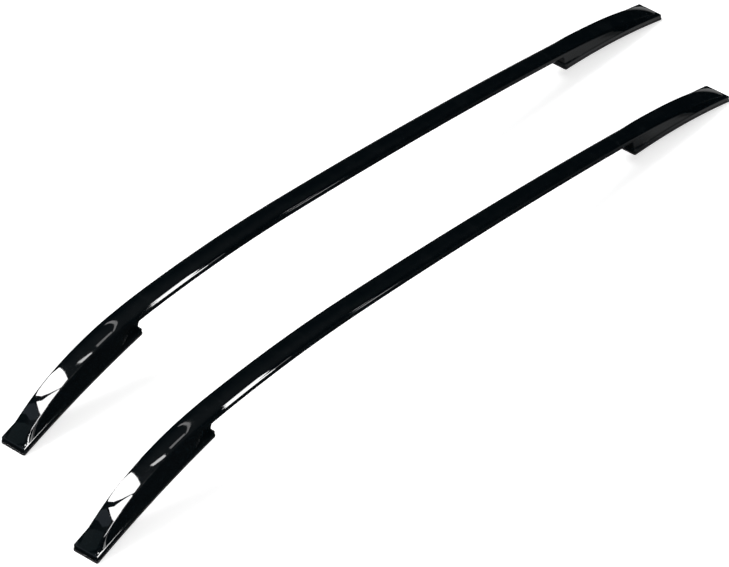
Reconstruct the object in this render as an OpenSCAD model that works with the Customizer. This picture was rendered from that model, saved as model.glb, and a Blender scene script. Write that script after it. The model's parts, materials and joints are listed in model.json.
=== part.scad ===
// Pair of raised roof side rails. Each rail is a hollow bent bar between two feet.
// A foot is a cast bracket under a moulded cover, on a soft base pad, with threaded
// inserts that open downwards for the bolts that come up through the roof.
// Front is +X, left is +Y, and z = 0 is the plane that the four toes stand on.

/* [Pair] */
// Distance between the two rails, middle to middle
rail_gap = 285; // [240:5:900]
// How far the right rail is set back along the pair
stagger = 130; // [0:5:200]
// Angle that each rail turns inwards towards the rear
toe = 0.46; // [0:0.02:1]

/* [Rail] */
// Length over both toes
rail_l = 1800; // [1700:10:2000]
// Height of the bar's centre line where it leaves the front foot
front_seam_z = 128.5; // [122:0.5:134]
// Rise of the bar where it leaves the front foot, in degrees
front_rise = 4.3; // [3.6:0.1:4.8]
// Distance from the front toe to the place where the bend eases
bend_change = 716; // [650:2:760]
// Radius of the tighter front bend, at the centre line
front_bend_r = 2930; // [2850:10:3100]
// Height of the bar's centre line where it leaves the rear foot
rear_seam_z = 68.7; // [64:0.1:74]

/* [Bar] */
// Width of the bar where it leaves the front foot
front_bar_w = 48; // [45:0.5:50]
// Width of the bar where it leaves the rear foot
rear_bar_w = 40; // [38:0.5:45]
// Height of the bar's full oval at the front
front_bar_h = 26.4; // [25:0.2:28]
// Height of the bar's full oval at the rear
rear_bar_h = 22.8; // [22:0.2:25]
// Roundness of the bar: 2 is an ellipse, more is squarer
bar_power = 2.3; // [2:0.05:3]
// Depth of the flat that is planed off the underside
bar_flat = 0.5; // [0.3:0.1:1]
// Wall of the bar
bar_wall = 2.4; // [2:0.1:3]

/* [Feet] */
// Length of the front cover along its base
front_foot_l = 308; // [290:2:330]
// Length of the rear cover along its base
rear_foot_l = 293; // [280:2:320]
// Length of the neck that carries the front cover on to its seam with the bar
front_neck = 34; // [30:1:50]
// Length of the neck that carries the rear cover on to its seam with the bar
rear_neck = 37; // [30:1:50]
// Slope of the roof under the front toe
front_roof_slope = 0.38; // [0.34:0.005:0.4]
// Slope of the roof under the rear toe
rear_roof_slope = 0.22; // [0.2:0.005:0.24]
// Fall of the roof away from its first slope, per millimetre squared, at the front
front_roof_bow = 0.00028; // [0.00024:0.00001:0.0003]
// Fall of the roof away from its first slope, per millimetre squared, at the rear
rear_roof_bow = 0.00034; // [0.0003:0.00001:0.00036]
// Depth of the front cover's crown line below its flange's top at the toe
front_toe_sink = 1.5; // [0.5:0.1:3]
// Depth of the rear cover's crown line below its flange's top at the toe
rear_toe_sink = 0.8; // [0.5:0.1:3]
// Width of a cover's flange at the toe
toe_w = 57; // [54:0.5:60]
// Width of a cover's flange at its inner end
inner_w = 54; // [52:0.5:58]
// Height of a cover's flange
flange_h = 8; // [6:0.5:9]
// Ledge of the flange outside the cover's side
ledge = 0.8; // [0.5:0.1:1.5]
// Length over which the side draws in to the bar's own width, before the inner end
draw_in = 60; // [45:1:70]
// Width of a cover's top face between its two creases
crease_w = 36; // [33:0.5:38]
// Rise of the top face's middle above its creases
crown = 1.6; // [1:0.1:3]
// Width of the small round along each crease
crease_round = 1.6; // [1:0.1:2.5]
// Wall of a cover
cover_wall = 2.6; // [2.2:0.1:3]
// Open joint between a cover and the bar
seam_gap = 0.3; // [0.2:0.05:0.5]

/* [Base pads] */
// Thickness of a base pad
pad_t = 3; // [2.5:0.1:4]
// Width that a pad shows outside the flange
pad_edge = 0.9; // [0.5:0.1:2]
// How far the flange and the pad reach past the front cover's inner end
front_tail = 4; // [3:0.5:8]
// How far the flange and the pad reach past the rear cover's inner end
rear_tail = 1.5; // [1:0.5:4]
// Width of the rear cover's end wall at its base
rear_end_w = 50; // [46:0.5:51]
// Round between the rear cover's end wall and the bar
rear_round = 3; // [2:0.5:6]
// Corner radius of a flange and its pad
corner = 3; // [2:0.5:6]

/* [Brackets] */
// Thickness of a bracket's base plate
plate_t = 4.5; // [4:0.25:6]
// Width of a bracket's base plate
plate_w = 42; // [38:1:44]
// Distance from a toe to the start of its bracket
bracket_start = 34; // [30:1:40]
// Distance between the inner faces of the two long ribs
rib_gap = 14; // [12:0.5:16]
// Thickness of each long rib
rib_t = 3.5; // [3:0.25:5]
// Space between the ribs' top edge and the cover
rib_clear = 2.2; // [1.8:0.1:4]
// Diameter of the boss round each threaded insert
boss_d = 17; // [16:0.5:19]
// Height of the insert bosses above the base pad
boss_h = 13; // [12:0.5:14]
// Length of the spigot inside the bar
spigot_l = 62; // [56:1:80]
// Length of the spigot's root inside the cover
spigot_root = 24; // [20:1:30]
// Space round the spigot inside the bar
spigot_clear = 0.4; // [0.3:0.05:0.6]
// Wall of the hollow spigot
spigot_wall = 4; // [3.5:0.25:5]
// Step in from the spigot to its root
shoulder = 1.2; // [1:0.1:2]

/* [Fixings] */
// Distance from a toe to its outer threaded insert
outer_insert_at = 72; // [66:1:84]
// Distance from a toe to its inner threaded insert
inner_insert_at = 236; // [226:1:250]
// Diameter of the inserts' threaded hole, an M6 thread at its crest
insert_bore = 5; // [5:0.1:5.2]
// Diameter of the inserts' body
insert_d = 9.6; // [9:0.1:10.5]
// Length of the inserts' body in the boss
insert_l = 11; // [10:0.5:12]
// Diameter of the inserts' flange
flange_d = 16; // [14:0.5:18]
// Distance from a toe to its locating peg
peg_at = 196; // [186:1:204]
// Diameter of the locating pegs
peg_d = 8; // [6:0.5:9]
// Length of the pegs below the base pad
peg_l = 6; // [5:0.5:8]
// Diameter of the pegs' collar
peg_collar_d = 13; // [12:0.5:16]
// Distance from a toe to its outer cover screw
outer_cover_screw_at = 150; // [110:1:160]
// Distance from a toe to its inner cover screw
inner_cover_screw_at = 276; // [264:1:278]
// Shank diameter of the cover screws
cover_screw_d = 4; // [3.5:0.1:4.5]
// Length of the cover screws under the head
cover_screw_l = 15; // [14:0.5:18]
// Outer diameter of the cover's screw bosses
cover_boss_d = 9; // [8:0.25:10]
// Distance from the seam to the outer bar screw
outer_bar_screw_at = 18; // [14:1:24]
// Distance from the seam to the inner bar screw
inner_bar_screw_at = 44; // [36:1:50]
// Shank diameter of the bar screws
bar_screw_d = 5; // [4:0.1:5.5]
// Length of the bar screws under the head
bar_screw_l = 9; // [8:0.5:12]
// Height of a screw's pan head as a share of its shank diameter
head_rise = 0.6; // [0.5:0.05:0.7]
// Width of a screw's pan head as a share of its shank diameter
head_spread = 1.9; // [1.8:0.05:2]
// Running space round shanks, pegs and bushes in their holes
fit = 0.15; // [0.1:0.05:0.3]
// Space left between two pieces that sit on each other
seat = 0.05; // [0.03:0.01:0.1]

/* [Hidden] */

// Sides and ends, used as indexes
LEFT = 1;
RIGHT = -1;
FRONT = 0;
REAR = 1;

// Colours
gloss_black = "#15181b";
cast_grey = "#9a9da0";
pad_black = "#202020";
plated_steel = "#c5c2b4";
peg_white = "#d8d8d2";

// Smoothness of round holes and pins
round_fn = 48;

// The two ends as pairs, so that one module makes both
foot_l = [front_foot_l, rear_foot_l];
tail = [front_tail, rear_tail];
bar_w = [front_bar_w, rear_bar_w];
bar_h = [front_bar_h, rear_bar_h];
seam = [front_foot_l + front_neck, rear_foot_l + rear_neck];
roof_slope = [front_roof_slope, rear_roof_slope];
roof_bow = [front_roof_bow, rear_roof_bow];
toe_sink = [front_toe_sink, rear_toe_sink];

// The fixings of every foot, from the outer one inwards
insert_at = [outer_insert_at, inner_insert_at];
cover_screw_at = [outer_cover_screw_at, inner_cover_screw_at];
bar_screw_at = [outer_bar_screw_at, inner_bar_screw_at];

// The bar's two bends, in the plane of distance from the front toe and height.
// The front bend's centre lies on the normal at its start. The rear bend takes over with
// the same tangent, and its radius brings it to the rear seam's height.
bar_from = seam[0];
bar_to = rail_l - seam[1];
front_centre = [bar_from + front_bend_r * sin(front_rise), front_seam_z - front_bend_r * cos(front_rise)];
change_rise = asin((front_centre[0] - bend_change) / front_bend_r);
change_z = front_centre[1] + front_bend_r * cos(change_rise);
rear_run = bar_to - bend_change;
rear_fall = change_z - rear_seam_z;
rear_bend_r = (rear_run * rear_run + rear_fall * rear_fall)
    / (2 * (rear_run * sin(change_rise) + rear_fall * cos(change_rise)));
rear_centre = [bend_change + rear_bend_r * sin(change_rise), change_z - rear_bend_r * cos(change_rise)];
rear_rise = asin((rear_centre[0] - bar_to) / rear_bend_r);

// Height and inward rise of the bar's centre line at each seam
seam_z = [front_seam_z, rear_seam_z];
seam_rise = [front_rise, -rear_rise];

// Height of the bar's centre line at distance u from the front toe, on one bend's circle.
// A bend that turns upwards has its centre above the bar, and a negative radius.
function bend_z(centre, r, u) = centre[1] + sign(r) * sqrt(r * r - pow(u - centre[0], 2));
function line_z(u) =
    u < bend_change ? bend_z(front_centre, front_bend_r, u)
    : bend_z(rear_centre, rear_bend_r, u);
// The same at distance u from either end's toe
function bar_z(end, u) = line_z(end == FRONT ? u : rail_l - u);

// The roof line under a foot, and its slope
function roof_z(end, u) = roof_slope[end] * u - roof_bow[end] * u * u;
function roof_angle(end, u) = atan(roof_slope[end] - 2 * roof_bow[end] * u);
// Heights above the roof line, square to it: a cover's base, its flange's top and the
// top of the bracket's base plate
cover_base = pad_t + seat;
flange_top = cover_base + flange_h;
plate_top = cover_base + plate_t;
// Height of a point that lies h above the roof line, square to it
function over_roof(end, u, h) = roof_z(end, u) + h / cos(roof_angle(end, u));

// The crown line of a cover: one Bezier curve from the toe to the bar's crown
toe_reach = [0.17, 0.16];
seam_reach = [0.5, 0.32];
toe_steep = [1.06, 0.6];
function crown_points(end) = let(
        u = seam[end],
        z = seam_z[end] + bar_h[end] / 2,
        low = over_roof(end, 0, flange_top) - toe_sink[end],
        a = toe_reach[end] * u,
        b = seam_reach[end] * u
    ) [[0, low], [a, low + a * toe_steep[end]], [u - b, z - b * tan(seam_rise[end])], [u, z]];
function bezier(p, t) = pow(1 - t, 3) * p[0] + 3 * pow(1 - t, 2) * t * p[1]
    + 3 * (1 - t) * t * t * p[2] + pow(t, 3) * p[3];
// The curve's parameter at distance u, found by halving
function bezier_at(p, u, low = 0, high = 1, steps = 22) =
    let(mid = (low + high) / 2)
    steps == 0 ? mid
    : bezier(p, mid)[0] < u ? bezier_at(p, u, mid, high, steps - 1)
    : bezier_at(p, u, low, mid, steps - 1);
function crown_z(end, u) =
    u >= seam[end] ? bar_z(end, u) + bar_h[end] / 2
    : bezier(crown_points(end), bezier_at(crown_points(end), u))[1];

// Underside of the bar, and the radius that blends it down to the cover's inner end
function belly_z(end, u) = bar_z(end, u) - bar_h[end] / 2 + bar_flat;
blend_r = [belly_z(FRONT, front_foot_l) - over_roof(FRONT, front_foot_l, cover_base), rear_round];

// A soft step from 0 to 1 between two distances
function ease(low, high, u) =
    let(t = min(max((u - low) / (high - low), 0), 1)) t * t * (3 - 2 * t);

// The bar's oval as half an outline, from its top down to its underside.
// Each point is [half width, height above the centre line].
function power_sin(a) = pow(abs(sin(a)), 2 / bar_power);
function power_cos(a) = sign(cos(a)) * pow(abs(cos(a)), 2 / bar_power);
function oval_point(w, h, a, inset = 0) = [
    (w / 2 - inset) * power_sin(a),
    max((h / 2 - inset) * power_cos(a), bar_flat + inset - h / 2)
];
// The whole outline, with as many points as a cover's rings
half_n = 12;
function oval(w, h, inset = 0) = concat(
    [for (i = [0 : half_n]) oval_point(w, h, 180 * i / half_n, inset)],
    [for (i = [half_n - 1 : -1 : 1]) let(p = oval_point(w, h, 180 * i / half_n, inset)) [-p[0], p[1]]]
);
// The bar narrows evenly from its front end to its rear end
function bar_share(u) = (u - bar_from) / (bar_to - bar_from);
function bar_w_at(u) = front_bar_w + (rear_bar_w - front_bar_w) * bar_share(u);
function bar_h_at(u) = front_bar_h + (rear_bar_h - front_bar_h) * bar_share(u);

// Half width of a flange, which narrows evenly from the toe to its inner end
function flange_y(end, u) = (toe_w + (inner_w - toe_w) * u / (foot_l[end] + tail[end])) / 2;

// Half outline of a foot at one distance, as [half width, depth below the crown]
crown_n = 3;
side_n = 6;
sunk = 1.5;
function foot_half(end, u, top, depth, inset) = let(
        crease = crease_w / 2 - inset * 0.8,
        edge = crease + crease_round,
        base = flange_y(end, u) - ledge - inset,
        brow = crown + crease_round * 0.7,
        // The side runs on a little way down inside the flange
        knee = max(top - over_roof(end, u, flange_top - sunk), crown + crease_round)
    ) concat(
        [for (i = [0 : crown_n]) [crease * i / crown_n, crown * pow(i / crown_n, 2)]],
        [for (i = [0 : side_n]) let(t = i / side_n)
            [edge + (base - edge) * pow(t, 0.85), brow + (knee - brow) * t]],
        [[base, max(depth, knee)], [0, max(depth, knee)]]
    );

// Half outline at a foot's inner end: the bar's oval down to its flank, then a wall that
// runs down to the wall's own half width at the base
flank_n = [9, 6];
function wall_foot(end) =
    end == REAR ? rear_end_w / 2
    : oval_point(front_bar_w, front_bar_h, 180 * flank_n[FRONT] / half_n)[0];
function walled_half(end, u, top, depth, inset) = let(
        n = flank_n[end],
        o = [for (i = [0 : n]) oval_point(bar_w[end], bar_h[end], 180 * i / half_n, inset)],
        high = bar_h[end] / 2 - inset,
        flank = high - o[n][1],
        full = top - over_roof(end, u, cover_base),
        lean = (wall_foot(end) - inset * 0.75 - o[n][0]) / (full - flank),
        low = max(depth, flank)
    ) concat(
        [for (p = o) [p[0], high - p[1]]],
        [for (i = [n + 1 : half_n - 1]) let(t = (low - flank) * (i - n) / (half_n - 1 - n))
            [o[n][0] + lean * t, flank + t]],
        [[0, low]]
    );

// Half outline of the bar itself, held above the lower edge
function bar_half(end, depth, inset) = [for (i = [0 : half_n])
    let(p = oval_point(bar_w[end], bar_h[end], 180 * i / half_n, inset))
    [p[0], i == half_n ? depth : min(bar_h[end] / 2 - inset - p[1], depth)]];

// One ring of a cover's body: the foot's outline is drawn in to the bar on its wall by the
// cover's inner end, the top first, and the wall runs out over the round past it
ease_start = 0.3;
function ring(end, u, inset, floor_z) = let(
        top = crown_z(end, u) - inset,
        depth = top - floor_z,
        foot = foot_half(end, u, top, depth, inset),
        walled = walled_half(end, u, top, depth, inset),
        bar = bar_half(end, depth, inset),
        late = ease(foot_l[end] - draw_in, foot_l[end] - inset, u),
        early = ease(ease_start * seam[end], foot_l[end] - inset, u),
        past = ease(foot_l[end] - inset, foot_l[end] + blend_r[end], u),
        half = [for (i = [0 : half_n]) let(share = late + (early - late) * pow(1 - i / half_n, 1.5))
            foot[i] * (1 - share) + (walled[i] * (1 - past) + bar[i] * past) * share]
    ) concat(
        [for (i = [0 : half_n]) [u, half[i][0], top - half[i][1]]],
        [for (i = [half_n - 1 : -1 : 1]) [u, -half[i][0], top - half[i][1]]]
    );

// A closed skin through rings of equal length, each ring in a plane across x
module loft(rings) {
    n = len(rings[0]);
    last = len(rings) - 1;
    walls = [for (k = [0 : last - 1], i = [0 : n - 1]) let(
            a = k * n + i,
            b = k * n + (i + 1) % n
        ) each [[a, b, b + n], [a, b + n, a + n]]];
    ends = [[for (i = [n - 1 : -1 : 0]) i], [for (i = [0 : n - 1]) last * n + i]];
    polyhedron([for (r = rings) each r], concat(walls, ends), convexity = 6);
}

// Distances of a cover's rings, closer at the toe and in the round at the inner end
body_start = 1.5;
body_steps = 13;
blend_steps = [6, 3];
function body_at(start, stop) =
    [for (i = [0 : body_steps]) start + (stop - start) * pow(i / body_steps, 1.1)];
function blend_at(end, inset) = [for (i = [1 : blend_steps[end]])
    foot_l[end] - inset + (blend_r[end] + inset) * (1 - cos(90 * i / blend_steps[end]))];

// Height of a cover's lower edge past its inner end: a quarter round up to the bar
function blend_z(end, u, inset) = let(
        r = blend_r[end] + inset,
        back = max(foot_l[end] + blend_r[end] - u, 0)
    ) belly_z(end, u) + inset - (r - sqrt(max(r * r - back * back, 0)));

// Body and flange of a cover. The body's lower edge ends half way down inside the flange.
module cover_outside(end) {
    edge = seam[end] - seam_gap;
    hidden = cover_base + flange_h / 2;
    loft(concat(
        [for (u = body_at(body_start, foot_l[end])) ring(end, u, 0, over_roof(end, u, hidden))],
        [for (u = blend_at(end, 0)) ring(end, u, 0, blend_z(end, u, 0))],
        [ring(end, edge, 0, belly_z(end, edge))]
    ));
    flange(end, 0, cover_base);
}

// Flange round a cover's foot, with round corners and a bevelled upper edge
bevel = 0.9;
corner_steps = 2;
flange_steps = 16;
module flange(end, inset, base) {
    near = inset;
    far = foot_l[end] + tail[end] - inset;
    r = corner - inset / 2;
    turn = [for (i = [0 : corner_steps]) 90 * i / corner_steps];
    plan = concat(
        [for (a = turn) [near + r * (1 - cos(a)), r * (1 - sin(a))]],
        [for (i = [1 : flange_steps - 1]) [near + r + (far - near - 2 * r) * i / flange_steps, 0]],
        [for (i = [corner_steps : -1 : 0]) [far - r * (1 - cos(turn[i])), r * (1 - sin(turn[i]))]]
    );
    loft([for (p = plan) let(
            y = flange_y(end, p[0]) - inset - p[1],
            low = over_roof(end, p[0], base),
            high = over_roof(end, p[0], flange_top - inset),
            side = [[y - bevel, high], [y, high - bevel], [y, low]]
        ) concat(
            [for (q = side) [p[0], q[0], q[1]]],
            [for (i = [2 : -1 : 0]) [p[0], -side[i][0], side[i][1]]]
        )]);
}

// The hollow of a cover: open below as far as the inner end, then a neck for the spigot,
// and the flange's own hollow round it
module cover_inside(end) {
    nose_solid = [10, 17];
    open_below = 6;
    step = 0.5;
    last = foot_l[end] - cover_wall;
    loft(concat(
        [for (u = body_at(nose_solid[end], last - step))
            ring(end, u, cover_wall, roof_z(end, u) - open_below)],
        [for (u = concat([last], blend_at(end, cover_wall)))
            ring(end, u, cover_wall, blend_z(end, u, cover_wall))],
        [ring(end, seam[end] + 1, cover_wall, belly_z(end, seam[end] + 1) + cover_wall)]
    ));
    flange(end, cover_wall, cover_base - 1);
}

// Places its children on the roof line at distance u, square to the roof
module on_roof(end, u) {
    translate([u, 0, roof_z(end, u)]) rotate([0, -roof_angle(end, u), 0]) children();
}

// Height above the roof line, square to it, of the cover's inner skin over distance u.
// The axis leans towards the toe, so the height is found in a few rounds.
function skin_height(end, u, h = 30, rounds = 8) = let(
        lean = roof_angle(end, u),
        skin_z = crown_z(end, u - h * sin(lean)) - cover_wall
    ) rounds == 0 ? h : skin_height(end, u, (skin_z - roof_z(end, u)) / cos(lean), rounds - 1);

// Moulded cover
module cover(end) {
    bite = cover_wall / 2;
    color(gloss_black) difference() {
        union() {
            difference() {
                cover_outside(end);
                cover_inside(end);
            }
            for (u = cover_screw_at) on_roof(end, u)
                translate([0, 0, plate_top])
                    cylinder(d = cover_boss_d, h = skin_height(end, u) + bite - plate_top, $fn = round_fn);
        }
        for (u = cover_screw_at) on_roof(end, u)
            translate([0, 0, plate_top - 1])
                cylinder(d = cover_screw_d + 2 * fit, h = cover_screw_l - plate_t + 3, $fn = round_fn);
    }
}

// Band between two heights above the roof line, as a side view
band_steps = 24;
function band_at(from_u, to_u, i) = from_u + (to_u - from_u) * i / band_steps;
function band(end, from_u, to_u, low, high) = concat(
    [for (i = [0 : band_steps]) let(u = band_at(from_u, to_u, i)) [u, over_roof(end, u, low)]],
    [for (i = [band_steps : -1 : 0]) let(u = band_at(from_u, to_u, i)) [u, over_roof(end, u, high)]]
);

// A side view given a width across the rail
module across(width) {
    rotate([90, 0, 0]) translate([0, 0, -width / 2]) linear_extrude(width) children();
}

// Outline in plan that follows the flange at an offset, with round corners
module flange_plan(end, spare) {
    far = foot_l[end] + tail[end];
    offset(r = corner + spare, $fn = 24) offset(delta = -corner)
        polygon([for (side = [-1, 1]) for (u = side < 0 ? [0, far] : [far, 0])
            [u, side * flange_y(end, u)]]);
}

// Soft base pad, with a hole for each insert flange, peg collar and screw head
module base_pad(end) {
    tall = 200;
    color(pad_black) difference() {
        intersection() {
            across(toe_w + 4 * pad_edge)
                polygon(band(end, -2 * pad_edge, foot_l[end] + tail[end] + 2 * pad_edge, 0, pad_t));
            translate([0, 0, -1]) linear_extrude(tall) flange_plan(end, pad_edge);
        }
        for (u = insert_at) on_roof(end, u) pad_hole(flange_d);
        on_roof(end, peg_at) pad_hole(peg_collar_d);
        for (u = cover_screw_at) on_roof(end, u) pad_hole(cover_screw_d * head_spread);
    }
}

module pad_hole(d) {
    translate([0, 0, -pad_t]) cylinder(d = d + 4 * fit, h = 3 * pad_t, $fn = round_fn);
}

// Screw with a pan head below and a plain shank above, from the seat of its head
module screw(d, l) {
    head_h = d * head_rise;
    point = d * 0.4;
    rotate_extrude($fn = round_fn) polygon([
        [0, -head_h], [d * head_spread * 0.35, -head_h], [d * head_spread / 2, -head_h * 0.45],
        [d * head_spread / 2, 0], [d / 2, 0], [d / 2, l - point], [d * 0.15, l], [0, l]
    ]);
}

// Side view of a bracket's long ribs, with lightening windows between the bosses
rib_steps = 18;
rib_nose = 9;
function rib_top(end, u) = crown_z(end, u) - cover_wall - crown - rib_clear;
module rib_side(end) {
    start = bracket_start + rib_nose;
    stop = foot_l[end] - cover_wall - rib_clear;
    window_r = 3;
    difference() {
        polygon(concat(
            [for (i = [0 : rib_steps]) let(u = start + (stop - start) * i / rib_steps)
                [u, over_roof(end, u, pad_t + plate_t / 2)]],
            [for (i = [rib_steps : -1 : 0]) let(u = start + (stop - start) * i / rib_steps)
                [u, rib_top(end, u)]]
        ));
        for (gap = [[insert_at[0], cover_screw_at[0]], [cover_screw_at[0], peg_at], [peg_at, insert_at[1]]])
            rib_window(end, gap[0] + boss_d / 2 + window_r, gap[1] - boss_d / 2 - window_r, window_r);
    }
}

// One lightening window, a slot whose height follows the rib
module rib_window(end, from_u, to_u, r) {
    frame = 5;
    low = function (u) over_roof(end, u, plate_top) + frame + r;
    high = function (u) rib_top(end, u) - frame - r;
    if (to_u > from_u && high(from_u) > low(from_u) && high(to_u) > low(to_u)) {
        polygon([
            [from_u, low(from_u) - r], [to_u, low(to_u) - r],
            [to_u + r, low(to_u)], [to_u + r, high(to_u)],
            [to_u, high(to_u) + r], [from_u, high(from_u) + r],
            [from_u - r, high(from_u)], [from_u - r, low(from_u)]
        ]);
    }
}

// Places its children on the bar's centre line at a seam, with +x along the bar into it
module at_seam(end) {
    translate([seam[end], 0, seam_z[end]]) rotate([0, -seam_rise[end], 0]) children();
}

// Hollow spigot that fills the end of the bar, with a slimmer root in the cover's neck.
// It lies along the bar's line at the middle of its own length, and fits the narrower end
// of the stretch of bar that it fills.
module spigot(end) {
    middle = seam[end] + spigot_l / 2;
    rise = atan((bar_z(end, middle + 1) - bar_z(end, middle - 1)) / 2);
    narrow = end == FRONT ? bar_from + spigot_l : bar_to;
    w = bar_w_at(narrow);
    h = bar_h_at(narrow);
    translate([middle, 0, bar_z(end, middle)]) rotate([0, -rise, 0]) {
        sleeve(-spigot_l / 2, spigot_l / 2, w, h, bar_wall + spigot_clear);
        sleeve(-spigot_l / 2 - spigot_root, 1 - spigot_l / 2, w, h, bar_wall + spigot_clear + shoulder);
    }
}

// Hollow oval from x = start to x = stop
module sleeve(start, stop, w, h, inset) {
    translate([start, 0, 0]) rotate([90, 0, 90]) linear_extrude(stop - start) difference() {
        polygon(oval(w, h, inset));
        polygon(oval(w, h, bar_wall + spigot_clear + spigot_wall));
    }
}

// Cast bracket: base plate, two long ribs, insert bosses and the spigot
module bracket(end) {
    tall = 200;
    stop = foot_l[end] - cover_wall - rib_clear;
    web_t = 5;
    color(cast_grey) difference() {
        union() {
            intersection() {
                across(plate_w + 2) polygon(band(end, bracket_start - 1, stop + 1, cover_base, plate_top));
                translate([0, 0, -1]) linear_extrude(tall) plate_plan(end, stop);
            }
            for (side = [-1, 1]) translate([0, side * (rib_gap + rib_t) / 2, 0])
                across(rib_t) rib_side(end);
            for (u = insert_at) on_roof(end, u) translate([0, 0, plate_top - plate_t / 2])
                cylinder(d = boss_d, h = boss_h - plate_t / 2, $fn = round_fn);
            spigot(end);
            translate([stop - web_t, 0, 0]) across(rib_gap + 2 * rib_t)
                translate([0, over_roof(end, stop, plate_top) - 1])
                    square([web_t, rib_top(end, stop) - over_roof(end, stop, plate_top)]);
            neck_web(end, stop);
        }
        for (u = insert_at) on_roof(end, u) translate([0, 0, pad_t - 1])
            cylinder(d = insert_d + 2 * fit, h = insert_l + 1 + fit, $fn = round_fn);
        on_roof(end, peg_at) translate([0, 0, pad_t - 1])
            cylinder(d = peg_d + 2 * fit, h = plate_t + 2, $fn = round_fn);
        for (u = cover_screw_at) on_roof(end, u) {
            translate([0, 0, pad_t - 1])
                cylinder(d = cover_screw_d + 4 * fit, h = plate_t + 2, $fn = round_fn);
            translate([0, 0, plate_top])
                cylinder(d = cover_boss_d + 4 * fit, h = tall, $fn = round_fn);
        }
        at_seam(end) for (x = bar_screw_at) translate([x, 0, -bar_h[end]])
            cylinder(d = bar_screw_d + 2 * fit, h = bar_h[end], $fn = round_fn);
    }
}

// Outline of a base plate in plan: wide under the foot, then a tongue where the cover draws in
module plate_plan(end, stop) {
    tongue = rib_gap + 2 * rib_t + 3;
    neck = foot_l[end] - draw_in;
    offset(r = corner, $fn = 24) offset(delta = -corner) polygon([
        [bracket_start, -plate_w / 2 + rib_nose], [bracket_start + rib_nose, -plate_w / 2],
        [neck - rib_nose, -plate_w / 2], [neck, -tongue / 2], [stop, -tongue / 2],
        [stop, tongue / 2], [neck, tongue / 2], [neck - rib_nose, plate_w / 2],
        [bracket_start + rib_nose, plate_w / 2], [bracket_start, plate_w / 2 - rib_nose]
    ]);
}

// Upright webs that carry the ribs on into the spigot's root
module neck_web(end, stop) {
    depth = bar_h[end] / 2 - bar_wall - spigot_clear - spigot_wall / 2;
    for (side = [-1, 1]) translate([0, side * (rib_gap + rib_t) / 2, 0])
        across(rib_t) polygon([
        [stop - 1, bar_z(end, stop) - depth],
        [seam[end] - 1, seam_z[end] - depth],
        [seam[end] - 1, seam_z[end] + depth - 1],
        [stop - 1, min(rib_top(end, stop), seam_z[end] + depth - 1)]
    ]);
}

// Flanged steel insert, threaded from below. Its flange fills the hole in the base pad.
module insert() {
    difference() {
        union() {
            translate([0, 0, fit]) cylinder(d = flange_d, h = pad_t - fit, $fn = round_fn);
            translate([0, 0, fit]) cylinder(d = insert_d, h = pad_t + insert_l - fit, $fn = round_fn);
        }
        cylinder(d = insert_bore, h = insert_l, $fn = round_fn);
    }
}

// Locating peg with a collar under the base plate and a tapered tip
module peg() {
    tip = 1.5;
    rotate_extrude($fn = round_fn) polygon([
        [0, -peg_l], [peg_d / 2 - tip, -peg_l], [peg_d / 2, tip * 1.5 - peg_l], [peg_d / 2, fit],
        [peg_collar_d / 2, fit], [peg_collar_d / 2, pad_t], [peg_d / 2, pad_t], [peg_d / 2, plate_top],
        [0, plate_top]
    ]);
}

// Distances of the bar's rings from the front toe, closer together in the tighter bend
front_steps = 8;
rear_steps = 10;
bar_at = concat(
    [for (i = [0 : front_steps - 1]) bar_from + (bend_change - bar_from) * i / front_steps],
    [for (i = [0 : rear_steps]) bend_change + (bar_to - bend_change) * i / rear_steps]
);

// Skin of the bar at an inset from its outside, longer at both ends by the given spare
module bar_skin(inset, spare) {
    inner = [for (k = [1 : len(bar_at) - 2]) bar_at[k]];
    loft([for (u = concat([bar_from - spare], inner, [bar_to + spare]))
        [for (p = oval(bar_w_at(u), bar_h_at(u), inset)) [u, p[0], line_z(u) + p[1]]]]);
}

// Hollow bar along its two bends, with holes in the underside for the screws
module rail_bar() {
    color(gloss_black) place_end(FRONT) difference() {
        bar_skin(0, 0);
        bar_skin(bar_wall, 1);
        for (end = [FRONT, REAR]) turn_to(end) at_seam(end) for (x = bar_screw_at)
            translate([x, 0, -bar_h[end]])
                cylinder(d = bar_screw_d + 4 * fit, h = bar_h[end], $fn = round_fn);
    }
}

// From the front toe's frame to the frame of either toe
module turn_to(end) {
    if (end == FRONT) children();
    else translate([rail_l, 0, 0]) rotate([0, 0, 180]) children();
}

// Screws that join the bar to a spigot, from below
module bar_screws(end) {
    color(plated_steel) at_seam(end) for (x = bar_screw_at) {
        // The bar falls away from the seam's tangent as its bend goes on, and its height changes
        drop = x * x / (2 * (end == FRONT ? front_bend_r : rear_bend_r));
        h = bar_h_at(end == FRONT ? bar_from + x : bar_to - x);
        translate([x, 0, bar_flat - h / 2 - drop - fit]) screw(bar_screw_d, bar_screw_l);
    }
}

// Screws that hold a cover down on its bracket, from below
module cover_screws(end) {
    color(plated_steel) for (u = cover_screw_at) on_roof(end, u)
        translate([0, 0, pad_t]) screw(cover_screw_d, cover_screw_l);
}

module inserts(end) {
    color(plated_steel) for (u = insert_at) on_roof(end, u) insert();
}

module locating_peg(end) {
    color(peg_white) on_roof(end, peg_at) peg();
}

// Turns a foot drawn from its own toe inwards into its place on the rail
module place_end(end) {
    if (end == FRONT) translate([rail_l / 2, 0, 0]) rotate([0, 0, 180]) children();
    else translate([-rail_l / 2, 0, 0]) children();
}

// Puts a rail on its side of the pair
module place_side(side) {
    translate([side * stagger / 2, side * rail_gap / 2, 0]) rotate([0, 0, side * toe]) children();
}

module on(side, end) {
    place_side(side) place_end(end) children();
}

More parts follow.
